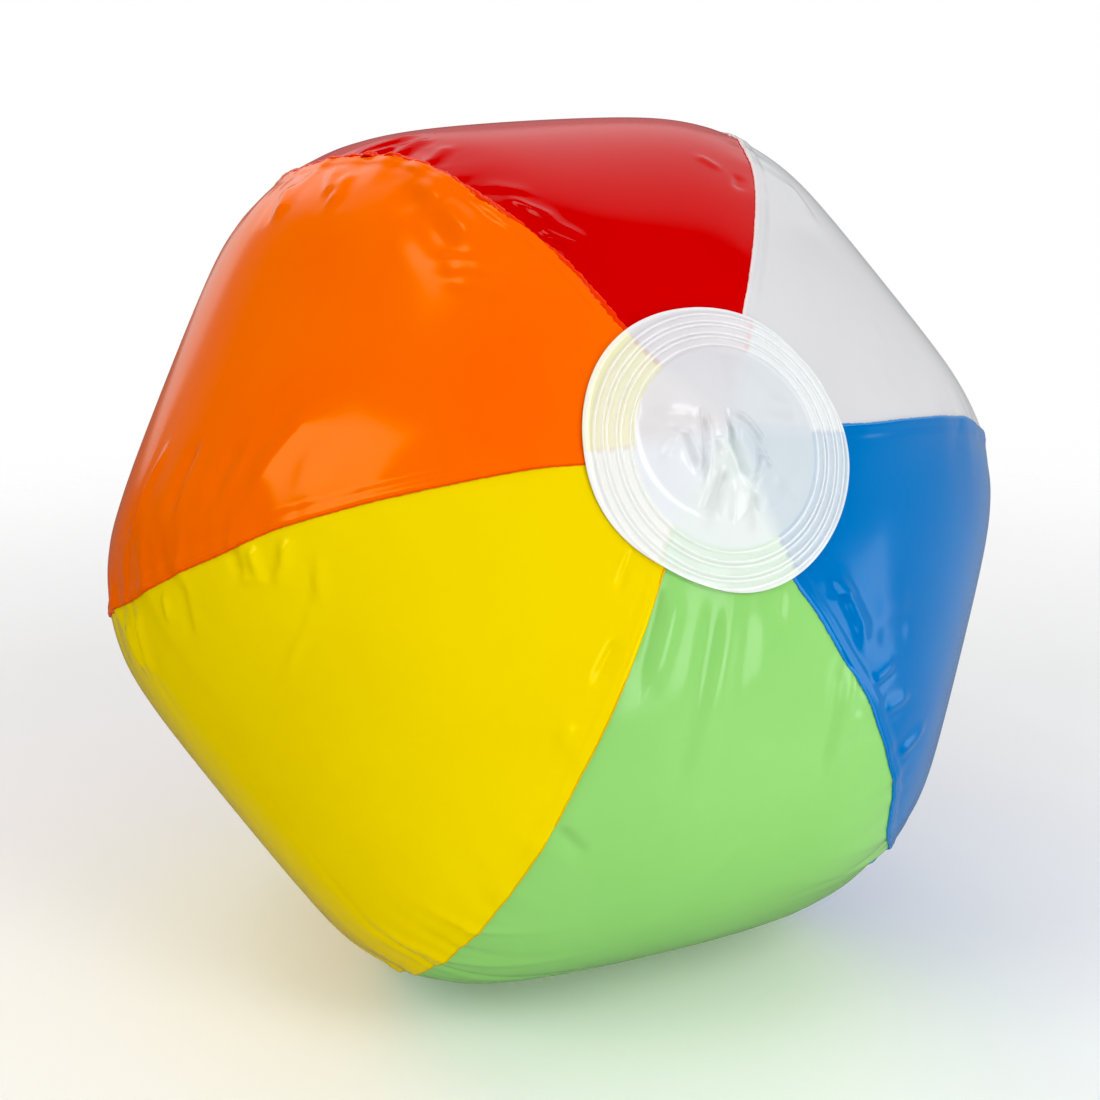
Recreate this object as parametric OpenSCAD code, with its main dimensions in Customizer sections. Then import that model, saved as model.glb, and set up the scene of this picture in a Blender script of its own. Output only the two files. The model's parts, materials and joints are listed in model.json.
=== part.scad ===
// Inflatable beach ball: six welded film panels, two pole discs and a push-in air valve.
// The ball lies at rest on one panel. The plain pole looks towards -Y and tips up by pole_tilt,
// and the valve pole looks towards +Y and down. The origin is the middle of the flat
// that the ball's own weight presses into the film.

/* [Ball] */
// Radius of the widest ring at the middle of a panel
panel_r = 97; // [85:1:130]
// How much further out the seams stand than the panels' middles
seam_rise = 6; // [2:0.5:10]
// How much shorter the ball is, from its centre to a pole, than panel_r
pole_drop = 3; // [0:0.5:6]
// Thickness of the PVC film
film = 0.3; // [0.2:0.05:0.5]
// Radius of the circle at each pole where the panels' tips stop
tip_r = 19; // [17:0.5:22]

/* [Rest] */
// Angle by which the plain pole tips up from level
pole_tilt = 28; // [10:1:40]
// Depth of the flat that the ball's weight presses into the bottom panel
floor_dent = 0.6; // [0.3:0.1:1.2]

/* [Pole discs] */
// Radius of the round discs welded over the panels' tips
disc_r = 28; // [25:0.5:34]

/* [Valve base] */
// Radius of the moulded flange under the valve disc
flange_r = 12.5; // [12:0.5:14]
// Thickness of the flange
flange_t = 1; // [0.8:0.1:1.5]
// Radius of the recess that the stem pushes into
recess_r = 8.5; // [8.5:0.1:9]
// Width of the raised lip round the recess
lip_w = 1.4; // [1:0.1:2]
// Height of the lip above the pole's flat
lip_h = 0.7; // [0.5:0.05:0.7]
// Thickness of the web that carries the stem
web_t = 0.6; // [0.4:0.1:0.8]

/* [Valve stem] */
// Outer radius of the stem
stem_r = 4.75; // [4.5:0.05:4.9]
// Radius of the air way through the stem
bore_r = 3.5; // [3.5:0.05:3.7]
// Height of the stem's rim above the pole's flat when it is pushed in
rim_z = 0.5; // [0.4:0.1:0.6]
// Length of the stem from its rim to its inner end
stem_len = 10.5; // [10:0.5:13]

/* [Plug] */
// Radius of the plug's cap
cap_r = 5.4; // [5.2:0.1:5.6]
// Thickness of the cap
cap_t = 1; // [0.8:0.1:1.2]
// Depth of the plug's stub in the bore
stub_len = 3.5; // [2:0.1:3.5]
// Distance of the strap's hinge from the bore's axis
hinge_d = 7.2; // [7.1:0.1:7.3]
// Width of the strap
strap_w = 3; // [2.4:0.1:3.2]

/* [Hidden] */
$fn = 96;

// Panels: azimuth of each panel's middle round the pole axis, anticlockwise from outside the plain pole
PANELS = 6;
panel_step = 360 / PANELS;
red_az = 90;
orange_az = red_az + panel_step;
yellow_az = orange_az + panel_step;
green_az = yellow_az + panel_step;
blue_az = green_az + panel_step;
white_az = blue_az + panel_step;

// A panel's middle line is an arc from pole to pole, and its cross lines are flatter arcs
pole_h = panel_r - pole_drop;
seam_r = panel_r + seam_rise;
arc_offset = (pow(panel_r, 2) - pow(pole_h, 2)) / (2 * panel_r);
long_r = panel_r - arc_offset;
seam_half = seam_r * sin(panel_step / 2);
cross_sag = panel_r - seam_r * cos(panel_step / 2);
cross_r = (pow(seam_half, 2) + pow(cross_sag, 2)) / (2 * cross_sag);
reach = 2 * seam_r;
ARC_FN = 240;

// Under a disc the film is flat as far out as the valve's flange needs, and then a shallow cone
flat_r = flange_r + 1.5;
flat_h = arc_height(flat_r);
edge_drop = 0.1;
edge_h = arc_height(disc_r) - edge_drop;
cone_slope = (flat_h - edge_h) / (disc_r - flat_r);
far_h = edge_h - cone_slope * (reach - disc_r);

// Place of the ball's centre above the flat that it rests on
centre_z = long_r + arc_offset * cos(pole_tilt) - floor_dent;
centre_y = arc_offset * sin(pole_tilt);

// Valve heights are along the valve's own axis, from the pole's flat outwards
lip_r = recess_r + lip_w;
end_z = rim_z - stem_len;
collar_r = cap_r;
collar_t = 0.8;
cap_gap = 0.05;
cap_z = rim_z + cap_gap;
stub_top_r = bore_r - 0.08;
stub_tip_r = bore_r - 0.9;
strap_t = 0.8;
hinge_z = cap_z + cap_t / 2 - 0.05;
knuckle_r = 0.7;
running = 0.05;
web_top_z = -0.4;
web_fall = 5.3;
web_gap = 0.05;
tab_w = 4;
tab_reach = 2;
flap_r = 4.2;
flap_t = 0.6;
flap_gap = 0.05;
flap_hinge_d = 5.4;
flap_knuckle_r = 0.5;
flap_w = 2.4;
flap_z = end_z - flap_gap - flap_t / 2;

// Milky colour of the discs and the moulded valve
milky = [0.95, 0.96, 0.96];

// Height of a panel's middle line at a distance from the pole axis
function arc_height(r) = sqrt(pow(long_r, 2) - pow(r - arc_offset, 2));

// From the ball's own axes, with the plain pole along +Z, to where the ball lies
module laid() {
    translate([0, centre_y, centre_z])
        rotate([90 - pole_tilt, 0, 0])
            children();
}

// From the valve's own axes, with the air way along +Z from the pole's flat outwards
module at_valve() {
    laid()
        translate([0, 0, -flat_h])
            rotate([180, 0, 0])
                children();
}

// One panel's surface of revolution, grown outwards by grow
module barrel(grow) {
    translate([arc_offset, 0, 0])
        rotate([90, 0, 0])
            rotate_extrude($fn = ARC_FN)
                intersection() {
                    translate([long_r - cross_r, 0])
                        circle(cross_r + grow, $fn = ARC_FN);
                    translate([0, -seam_half - 6])
                        square([reach, 2 * seam_half + 12]);
                }
}

// The sixth of space that belongs to a panel
module sixth() {
    half = reach * tan(panel_step / 2);
    linear_extrude(height = 2 * reach, center = true)
        polygon([[0, 0], [reach, -half], [reach, half]]);
}

// The space between the two poles' caps, each a flat with a cone round it, grown outwards by grow
module capped(grow) {
    rotate_extrude()
        polygon([
            [0, -flat_h - grow], [flat_r, -flat_h - grow], [reach, -far_h - grow],
            [reach, far_h + grow], [flat_r, flat_h + grow], [0, flat_h + grow]
        ]);
}

// A panel's outside or, with a negative grow, its inside, as a body that fills the ball
module panel_body(grow) {
    intersection() {
        barrel(grow);
        capped(grow);
    }
}

// Everything above a level floor
module above(level) {
    translate([-reach, -reach, level])
        cube([2 * reach, 2 * reach, 2 * reach]);
}

// A panel: film cut by its two seams and by the circle at each pole
module panel(az) {
    laid()
        rotate([0, 0, az])
            difference() {
                intersection() {
                    panel_body(0);
                    sixth();
                }
                panel_body(-film);
                cylinder(r = tip_r, h = 2 * reach, center = true);
            }
}

// The panel that the ball rests on has a flat where it meets the floor
module resting_panel(az) {
    difference() {
        intersection() {
            laid()
                rotate([0, 0, az])
                    intersection() {
                        panel_body(0);
                        sixth();
                    }
            above(0);
        }
        intersection() {
            laid()
                rotate([0, 0, az])
                    panel_body(-film);
            above(film);
        }
        laid()
            cylinder(r = tip_r, h = 2 * reach, center = true);
    }
}

// A pole disc on +Z, which lies on the panels' tips
module pole_disc() {
    rotate_extrude()
        polygon([
            [0, flat_h], [flat_r, flat_h], [disc_r, edge_h],
            [disc_r, edge_h + film], [flat_r, flat_h + film], [0, flat_h + film]
        ]);
}

module panel_orange() {
    color([1, 0.45, 0.02])
        panel(orange_az);
}

module panel_yellow() {
    color([0.94, 0.84, 0.02])
        panel(yellow_az);
}

module panel_green() {
    color([0.6, 0.87, 0.5])
        resting_panel(green_az);
}

module panel_blue() {
    color([0.13, 0.46, 0.75])
        panel(blue_az);
}

module panel_white() {
    color([0.87, 0.87, 0.88])
        panel(white_az);
}

module panel_red() {
    color([0.82, 0.04, 0.02])
        panel(red_az);
}

module pole_disc_plain() {
    color(milky)
        laid()
            pole_disc();
}

// The valve disc has a round hole for the lip
module pole_disc_valve() {
    color(milky)
        difference() {
            laid()
                rotate([180, 0, 0])
                    pole_disc();
            at_valve()
                cylinder(r = lip_r, h = 4, center = true);
        }
}

// Ring welded to the inside of the valve disc, with a lip that comes out through the disc's hole
module valve_flange() {
    color(milky)
        at_valve()
            rotate_extrude()
                polygon([
                    [recess_r, -flange_t], [flange_r, -flange_t], [flange_r, 0],
                    [lip_r, 0], [lip_r, lip_h], [recess_r, lip_h]
                ]);
}

// Thin cone between the recess and the stem, which turns inside out as the stem is pulled
module valve_web() {
    inner_r = stem_r + web_gap;
    color(milky)
        at_valve()
            rotate_extrude()
                polygon([
                    [inner_r, web_top_z - web_fall - web_t], [recess_r, web_top_z - web_t],
                    [recess_r, web_top_z], [inner_r, web_top_z - web_fall]
                ]);
}

// Flat arm that stands out from the stem to carry a hinge, towards -Y
module hinge_arm(far, width, low, high) {
    translate([-width / 2, -far, low])
        cube([width, far, high - low]);
}

// Tube with a collar at its rim, an arm for the strap's hinge and an arm for the flap's hinge
module valve_stem() {
    color(milky)
        at_valve()
            difference() {
                union() {
                    translate([0, 0, end_z])
                        cylinder(r = stem_r, h = stem_len);
                    translate([0, 0, rim_z - collar_t])
                        cylinder(r = collar_r, h = collar_t);
                    hinge_arm(hinge_d + 0.5, strap_w, rim_z - collar_t, rim_z);
                    hinge_arm(flap_hinge_d + 0.6, flap_w, end_z, end_z + 1);
                }
                translate([0, 0, end_z - 1])
                    cylinder(r = bore_r, h = stem_len + 2);
                knuckle(hinge_d, hinge_z, knuckle_r + running, strap_w + 1);
                knuckle(flap_hinge_d, flap_z, flap_knuckle_r + running, flap_w + 1);
            }
}

// Round hinge roller that lies across the valve at a distance from its axis
module knuckle(distance, height, r, width) {
    translate([0, -distance, height])
        rotate([0, 90, 0])
            cylinder(r = r, h = width, center = true);
}

// Cap that lies on the stem's rim, with a tapered stub in the bore and a tab to lift it by
module valve_plug() {
    color(milky)
        at_valve()
            union() {
                translate([0, 0, cap_z])
                    cylinder(r = cap_r, h = cap_t);
                translate([0, 0, rim_z - stub_len])
                    cylinder(r1 = stub_tip_r, r2 = stub_top_r, h = stub_len + cap_gap);
                translate([-tab_w / 2, 0, hinge_z - strap_t / 2])
                    cube([tab_w, cap_r + tab_reach, strap_t]);
            }
}

// Strap that ties the plug to the stem
module plug_strap() {
    color(milky)
        at_valve()
            difference() {
                union() {
                    knuckle(hinge_d, hinge_z, knuckle_r, strap_w);
                    hinge_strap(hinge_d, hinge_z, strap_w, strap_t);
                }
                translate([0, 0, cap_z - 1])
                    cylinder(r = cap_r, h = cap_t + 2);
            }
}

// Flat strip from a hinge towards the valve's axis
module hinge_strap(distance, height, width, thickness) {
    translate([-width / 2, -distance, height - thickness / 2])
        cube([width, distance, thickness]);
}

// Flap that closes the stem's inner end against the air in the ball
module check_flap() {
    color(milky)
        at_valve()
            union() {
                translate([0, 0, flap_z - flap_t / 2])
                    cylinder(r = flap_r, h = flap_t);
                hinge_strap(flap_hinge_d, flap_z, flap_w, flap_t);
                knuckle(flap_hinge_d, flap_z, flap_knuckle_r, flap_w);
            }
}

panel_orange();
panel_yellow();
panel_green();
panel_blue();
panel_white();
panel_red();
pole_disc_plain();
pole_disc_valve();
valve_flange();
valve_web();
valve_stem();
valve_plug();
plug_strap();
check_flap();
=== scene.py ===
import json
import math

import bmesh
import bpy
import numpy as np
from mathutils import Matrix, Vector


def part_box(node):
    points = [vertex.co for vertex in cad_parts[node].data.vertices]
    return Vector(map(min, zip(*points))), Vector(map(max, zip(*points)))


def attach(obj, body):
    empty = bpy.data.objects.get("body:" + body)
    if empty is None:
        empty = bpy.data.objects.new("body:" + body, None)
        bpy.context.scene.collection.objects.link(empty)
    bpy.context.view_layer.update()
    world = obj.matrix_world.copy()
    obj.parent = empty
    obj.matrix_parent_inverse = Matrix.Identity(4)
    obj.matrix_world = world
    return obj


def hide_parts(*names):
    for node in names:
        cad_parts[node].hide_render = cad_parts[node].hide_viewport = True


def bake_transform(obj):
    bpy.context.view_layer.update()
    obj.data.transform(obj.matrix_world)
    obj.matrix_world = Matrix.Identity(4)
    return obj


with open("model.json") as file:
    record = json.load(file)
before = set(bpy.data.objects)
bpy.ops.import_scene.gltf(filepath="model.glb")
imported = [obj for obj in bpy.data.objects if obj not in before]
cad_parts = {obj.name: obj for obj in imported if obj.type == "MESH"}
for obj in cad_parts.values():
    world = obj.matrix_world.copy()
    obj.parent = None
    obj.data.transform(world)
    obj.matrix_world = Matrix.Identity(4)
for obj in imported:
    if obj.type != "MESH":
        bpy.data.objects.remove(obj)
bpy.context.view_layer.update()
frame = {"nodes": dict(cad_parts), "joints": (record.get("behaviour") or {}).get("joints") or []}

MM = 0.001
scene = bpy.context.scene

# ---------------------------------------------------------------- the ball's own frame
# Ball-local axes, in millimetres: Z runs out through the plain pole, X is the row's X, and azimuth 90 is on
# top.
slide = next(j for j in frame["joints"] if j["name"] == "stem_slide")
POLE = -np.array(slide["axis"], float)
XAX = np.array([1.0, 0.0, 0.0])
YAX = np.cross(POLE, XAX)
BASIS = np.stack([XAX, YAX, POLE])
boxes = [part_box(n) for n in ("pole_disc_plain", "pole_disc_valve")]
CENTRE = np.array(sum((lo + hi for lo, hi in boxes), Vector((0, 0, 0))) / 4) / MM


def to_row(P):
    """Ball-local millimetres to row-frame millimetres."""
    return np.asarray(P) @ BASIS + CENTRE


def towards(azimuth, elevation):
    """The direction from the ball at so many degrees round from the front, and so many up."""
    a, e = math.radians(azimuth), math.radians(elevation)
    return Vector((math.sin(a) * math.cos(e), -math.cos(a) * math.cos(e), math.sin(e)))


# ---------------------------------------------------------------- camera
CAM_AZ, CAM_EL = -22.42, 16.37
CAM_DIST = 449.0
back = towards(CAM_AZ, CAM_EL)
cam = bpy.data.objects.new("camera", bpy.data.cameras.new("camera"))
scene.collection.objects.link(cam)
cam.location = (Vector(CENTRE) + back * CAM_DIST) * MM
cam.rotation_mode = "QUATERNION"
cam.rotation_quaternion = (-back).to_track_quat("-Z", "Y")
cam.data.sensor_width = 36
cam.data.lens = 62.96
cam.data.shift_x = -0.0080
cam.data.shift_y = -0.0100
cam.data.clip_start, cam.data.clip_end = 0.02, 20
scene.camera = cam

# ---------------------------------------------------------------- inflating the flat gores
GORES = 6
FLAT_L = 293.0          # a gore's flat length, pole to pole
FLAT_W = 105.0          # its flat width at the middle
TAN30 = math.tan(math.radians(30))
RS = FLAT_L / math.pi
RA = FLAT_W / 2 / TAN30  # reach of the gore's edge from the axis; less than RS


def rho(s):
    return RA * np.sin(s / RS)


def flat_mesh(edge):
    """The six gores joined edge to edge, each bent one way only, so nothing in it is stretched."""
    rows = int(round(FLAT_L / edge / 2)) * 2
    s = np.linspace(0, FLAT_L, rows + 1)
    fine = np.linspace(0, FLAT_L, 4001)
    dz = np.sqrt(1 - (RA / RS * np.cos(fine / RS)) ** 2)
    zz = np.concatenate([[0], np.cumsum((dz[1:] + dz[:-1]) / 2 * (fine[1] - fine[0]))])
    z = zz[-1] / 2 - np.interp(s, fine, zz)
    n = np.maximum(1, np.round(rho(s) * TAN30 * 2 / edge).astype(int))
    n[0] = n[-1] = 0
    verts, ids, faces = [], {}, []

    def vid(g, i, j):
        g %= GORES
        key = (i,) if n[i] == 0 else ((g + 1) % GORES, i, 0) if j == n[i] else (g, i, j)
        if key not in ids:
            ids[key] = len(verts)
            r = rho(s[i])
            lat = r * TAN30 * (-1 + 2 * j / n[i]) if n[i] else 0
            az = math.radians(60 * g + 30)
            verts.append((r * math.cos(az) - lat * math.sin(az), r * math.sin(az) + lat * math.cos(az), z[i]))
        return ids[key]

    for g in range(GORES):
        for i in range(rows):
            p, q = 0, 0
            while p < n[i] or q < n[i + 1]:
                tp = (p + 1) / n[i] if n[i] else 2
                tq = (q + 1) / n[i + 1] if n[i + 1] else 2
                if q < n[i + 1] and (p >= n[i] or tq <= tp):
                    faces.append((vid(g, i, p), vid(g, i + 1, q), vid(g, i + 1, q + 1)))
                    q += 1
                else:
                    faces.append((vid(g, i, p), vid(g, i + 1, q), vid(g, i, p + 1)))
                    p += 1
    index = [[[vid(g, i, j) for j in range(n[i] + 1)] for i in range(rows + 1)] for g in range(GORES)]
    return s, np.array(verts), faces, index


def inflate(verts, faces, frames):
    """Cloth with air pressure, at ten times life size, then read back in millimetres."""
    S = 10 / 1000
    me = bpy.data.meshes.new("inflating")
    me.from_pydata((verts * S).tolist(), [], faces)
    ob = bpy.data.objects.new("inflating", me)
    scene.collection.objects.link(ob)
    m = ob.modifiers.new("Cloth", "CLOTH")
    c = m.settings
    c.quality = 6
    c.mass = 0.1
    c.tension_stiffness = c.shear_stiffness = 80
    c.compression_stiffness = 5
    c.bending_stiffness = 0.01
    c.tension_damping = c.compression_damping = c.shear_damping = 5
    c.bending_damping = 0.5
    c.air_damping = 1
    c.use_pressure = True
    c.uniform_pressure_force = 50
    c.effector_weights.gravity = 0
    m.collision_settings.use_collision = False
    m.collision_settings.use_self_collision = False
    m.point_cache.frame_start, m.point_cache.frame_end = 1, frames
    for f in range(1, frames + 1):
        scene.frame_set(f)
    ev = ob.evaluated_get(bpy.context.evaluated_depsgraph_get())
    co = np.zeros(len(ev.data.vertices) * 3)
    ev.data.vertices.foreach_get("co", co)
    bpy.data.objects.remove(ob)
    scene.frame_set(1)
    return co.reshape(-1, 3) / S


def catmull(p0, p1, p2, p3, f):
    """Catmull-Rom between p1 and p2, at f from 0 to 1."""
    return p1 + 0.5 * f * (p2 - p0 + f * (2 * p0 - 5 * p1 + 4 * p2 - p3 + f * (3 * (p1 - p2) + p3 - p0)))


def spline(Y, x):
    """Catmull-Rom through the evenly spaced samples Y[0..n-1], read at x."""
    n = len(Y)
    if n == 1:
        return np.repeat(Y, len(x), 0)
    E = np.concatenate([2 * Y[:1] - Y[1:2], Y, 2 * Y[-1:] - Y[-2:-1]])
    x = np.clip(x, 0, n - 1)
    i = np.minimum(x.astype(int), n - 2)
    f = (x - i).reshape((-1,) + (1,) * (Y.ndim - 1))
    return catmull(E[i], E[i + 1], E[i + 2], E[i + 3], f)


COLS = 96
s_rows, flat_v, flat_f, index = flat_mesh(2.0)
co = inflate(flat_v, flat_f, 8)
co -= co.mean(0)
GRID = np.array([[spline(co[index[g][i]], np.linspace(0, len(index[g][i]) - 1, COLS + 1))
                  for i in range(len(s_rows))] for g in range(GORES)])

# one smoothing along the gores takes out buckles no longer than two cloth edges, which only show the mesh
ends = np.concatenate([GRID[:, :1], GRID[:, :1], GRID, GRID[:, -1:], GRID[:, -1:]], 1)
eased = (ends[:, :-4] + 4 * ends[:, 1:-3] + 6 * ends[:, 2:-2] + 4 * ends[:, 3:-1] + ends[:, 4:]) / 16
GRID[:, 3:-3] = eased[:, 3:-3]


def surface(g, s, t):
    """Points of the inflated ball: gore g, s mm from the plain pole along the flat gore, t across it.

    t runs from -1 to 1. Past either, it runs on over the neighbouring gore.
    """
    s, t = np.broadcast_arrays(np.asarray(s, float), np.asarray(t, float))
    shape = s.shape
    s, t = s.ravel(), t.ravel()
    out = np.zeros((len(s), 3))
    for step, pick in ((-1, t < -1), (0, np.abs(t) <= 1), (1, t > 1)):
        if not pick.any():
            continue
        G = GRID[(g + step) % GORES]
        u = (np.clip(t[pick] - 2 * step, -1, 1) + 1) / 2 * COLS
        x = s[pick] / FLAT_L * (len(s_rows) - 1)
        i = np.clip(x.astype(int), 0, len(s_rows) - 2)
        f = (x - i)[:, None]
        j = np.clip(u.astype(int), 0, COLS - 1)
        w = (u - j)[:, None]
        R = []
        for k in (-1, 0, 1, 2):
            ii = np.clip(i + k, 0, len(s_rows) - 1)
            R.append(G[ii, j] * (1 - w) + G[ii, j + 1] * w)
        out[pick] = catmull(*R, f)
    return out.reshape(shape + (3,))


# How far each seam wanders from its even place: (mm from the plain pole, degrees), for the seam at azimuth
# 60 k. Most of these numbers came out of a scratch program that carried points picked on the photo onto the
# gores, and were copied in rounded. report.md names that as a rule this script doesn't keep.
WANDER = [
    ((20, -4), (32, -2.7), (44, -0.5), (58, 1), (73, 2), (150, 0)),
    ((20, 0), (68, 0), (80, 0.8), (100, 1), (150, 0)),
    ((20, 4), (25, 3), (31, 1), (40, -1), (50, -1.5), (85, -1.5), (95, 0), (110, 2.5), (120, 3.5),
     (150, 2), (200, 0)),
    ((20, 2.5), (25, 1.5), (32, -0.5), (62, -0.5), (83, 0), (95, 1), (112, 1.5), (130, 2), (160, 1),
     (200, 0)),
    ((20, -8), (27, -5.8), (33, -3.2), (40, -2), (50, -1), (66, -0.5), (80, 0), (200, 0)),
    ((20, -8), (30, -6), (36, -3.2), (47, -1.5), (58, 0.5), (86, 1.2), (94, 0.6), (100, 0.2),
     (106, 0.9), (114, 3), (125, 4.5), (150, 2.5), (200, 0)),
]


def wander(k, s):
    """Degrees that seam k is off, eased between its points."""
    xs, ys = np.array(WANDER[k % GORES], float).T
    total = 0
    for off, w in ((-3, 0.25), (0, 0.5), (3, 0.25)):
        total = total + w * np.interp(s + off, xs, ys)
    return total


def turned(P, deg):
    """P turned about the ball's axis."""
    a = np.radians(deg)
    c, s = np.cos(a), np.sin(a)
    return np.stack([P[..., 0] * c - P[..., 1] * s, P[..., 0] * s + P[..., 1] * c, P[..., 2]], -1)


def skin(g, s, t):
    """The inflated surface with the seams' wander: what every panel is cut from."""
    u = (np.clip(t, -1, 1) + 1) / 2
    return turned(surface(g, s, t), (1 - u) * wander(g, s) + u * wander(g + 1, s))


def grid_normals(P):
    """Outward normals of an open grid of points (rows, columns, 3)."""
    n = np.cross(np.gradient(P, axis=0), np.gradient(P, axis=1))
    n /= np.linalg.norm(n, axis=2, keepdims=True) + 1e-12
    if (n * P).sum() < 0:
        n = -n
    return n


def smooth(x, lo, hi):
    """0 up to lo, 1 from hi on, eased in between."""
    u = np.clip((x - lo) / (hi - lo), 0, 1)
    return u * u * (3 - 2 * u)


# ---------------------------------------------------------------- mesh helpers
SETTLE = float(to_row(GRID.reshape(-1, 3))[:, 2].min()) + 0.35      # the film's slack over the floor
FLOOR_EASE = 0.8


def to_floor(P):
    """Row-frame millimetres with nothing under the floor: what would go below lies on it, eased."""
    P = P.copy()
    z = P[..., 2] - SETTLE * (1 - smooth(P[..., 2], 0, 30))
    P[..., 2] = np.where(z < FLOOR_EASE, FLOOR_EASE / (1 + np.exp(-np.clip(
        4 * (z - FLOOR_EASE / 2) / FLOOR_EASE, -30, 30))), z)
    return P


def finish_mesh(name, P, faces, material, body="root"):
    """A smooth-shaded object from row-frame millimetres, riding its body if it has one."""
    me = bpy.data.meshes.new(name)
    me.from_pydata((P * MM).tolist(), [], faces)
    me.update()
    ob = bpy.data.objects.new(name, me)
    scene.collection.objects.link(ob)
    me.polygons.foreach_set("use_smooth", [True] * len(me.polygons))
    me.materials.append(material)
    if body:
        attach(ob, body)
    return ob


def shell(top, under, wrap=False):
    """A closed thin shell from its outer and inner grids of points: vertices and quads."""
    r, c = top.shape[:2]
    P = np.concatenate([top.reshape(-1, 3), under.reshape(-1, 3)])
    k = np.arange(r * c).reshape(r, c)
    kk = np.concatenate([k, k[:, :1]], 1) if wrap else k
    q = np.stack([kk[:-1, :-1], kk[1:, :-1], kk[1:, 1:], kk[:-1, 1:]], -1).reshape(-1, 4)
    faces = [q, q[:, ::-1] + r * c]
    rims = [kk[0], kk[-1][::-1]]
    if not wrap:
        rims += [k[:, -1], k[:, 0][::-1]]
    for line in rims:
        faces.append(np.stack([line[:-1], line[1:], line[1:] + r * c, line[:-1] + r * c], -1))
    return P, np.concatenate(faces).tolist()


# ---------------------------------------------------------------- materials
def nodes_of(name):
    m = bpy.data.materials.new(name)
    m.use_nodes = True
    nt = m.node_tree
    return m, nt, nt.nodes["Principled BSDF"]


def srgb(*c):
    """A linear colour from 0 to 255 sRGB levels."""
    return tuple((x / 255 / 12.92) if x / 255 <= 0.04045 else ((x / 255 + 0.055) / 1.055) ** 2.4
                 for x in c) + (1,)


def film(name, colour, deep, rough=0.16, bump=0.25, gleam=(1, 1, 1)):
    """Glossy printed PVC film: slow mottle in the colour, fine orange peel, and hand marks in the gloss."""
    m, nt, b = nodes_of(name)
    N, K = nt.nodes, nt.links
    co_ = N.new("ShaderNodeTexCoord")
    mott = N.new("ShaderNodeTexNoise")
    mott.inputs["Scale"].default_value = 22
    mott.inputs["Detail"].default_value = 4
    ramp = N.new("ShaderNodeValToRGB")
    ramp.color_ramp.elements[0].position, ramp.color_ramp.elements[1].position = 0.3, 0.7
    ramp.color_ramp.elements[0].color, ramp.color_ramp.elements[1].color = srgb(*deep), srgb(*colour)
    K.new(co_.outputs["Object"], mott.inputs["Vector"])
    K.new(mott.outputs["Fac"], ramp.inputs["Fac"])
    K.new(ramp.outputs["Color"], b.inputs["Base Color"])
    marks = N.new("ShaderNodeTexNoise")
    marks.inputs["Scale"].default_value = 60
    marks.inputs["Detail"].default_value = 6
    marks.inputs["Distortion"].default_value = 0.6
    mr = N.new("ShaderNodeMapRange")
    mr.inputs["To Min"].default_value, mr.inputs["To Max"].default_value = rough * 0.8, rough * 1.3
    K.new(co_.outputs["Object"], marks.inputs["Vector"])
    K.new(marks.outputs["Fac"], mr.inputs["Value"])
    K.new(mr.outputs["Result"], b.inputs["Roughness"])
    peel = N.new("ShaderNodeTexNoise")
    peel.inputs["Scale"].default_value = 420
    peel.inputs["Detail"].default_value = 3
    bp = N.new("ShaderNodeBump")
    bp.inputs["Strength"].default_value = bump
    bp.inputs["Distance"].default_value = 0.00003
    K.new(co_.outputs["Object"], peel.inputs["Vector"])
    K.new(peel.outputs["Fac"], bp.inputs["Height"])
    K.new(bp.outputs["Normal"], b.inputs["Normal"])
    b.inputs["IOR"].default_value = 1.5
    b.inputs["Specular IOR Level"].default_value = 0.3
    b.inputs["Specular Tint"].default_value = gleam + (1,)
    return m


FILMS = {
    "white": film("film_white", (221, 221, 224), (216, 216, 219)),
    "red": film("film_red", (209, 2, 3), (201, 0, 2), gleam=(1, 0.85, 0.8)),
    "orange": film("film_orange", (255, 111, 0), (252, 101, 0), gleam=(1, 0.9, 0.32)),
    "yellow": film("film_yellow", (246, 219, 1), (240, 211, 0), gleam=(1, 0.95, 0.3)),
    "green": film("film_green", (153, 217, 122), (145, 211, 115)),
    "blue": film("film_blue", (20, 120, 194), (14, 112, 186), gleam=(0.45, 0.75, 1)),
}
ORDER = ["white", "red", "orange", "yellow", "green", "blue"]   # gore g is centred on azimuth 60 g + 30

# ---------------------------------------------------------------- panels
TIP_R = 19.3            # the gores' tips are cut to this circle, under the discs
FILM_T = 0.3
LAP = 1.5               # how far a lap runs past the seam line
LIFT = 0.42             # how far the upper gore of a seam stands over the lower one
JAG = (31, 7.3, 3.1, 1.7)    # the waves, in mm, that a lap's free edge is made of
FOLD_GAIN = 1.5         # on the heights and steps in FOLDS
UPPER = [5, 0, 2, 2, 3, 5]   # for the seam at azimuth 60 k, the gore that lies on top


def along(x, y, pts):
    """Distance from each (x, y) to a line through pts, how far along it (0 to 1), and on which side."""
    pts = np.array(pts, float)
    seg = np.hypot(*(pts[1:] - pts[:-1]).T)
    best = np.full(x.shape, 1e9)
    where, side = np.zeros(x.shape), np.zeros(x.shape)
    done = 0
    for (p, q), ln in zip(zip(pts[:-1], pts[1:]), seg):
        d = (q - p) / ln
        f = np.clip((x - p[0]) * d[0] + (y - p[1]) * d[1], 0, ln)
        ex, ey = x - p[0] - f * d[0], y - p[1] - f * d[1]
        dist = np.hypot(ex, ey)
        near = dist < best
        best = np.where(near, dist, best)
        where = np.where(near, (done + f) / seg.sum(), where)
        side = np.where(near, np.sign(d[0] * ey - d[1] * ex), side)
        done += ln
    return best, where, side


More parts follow.
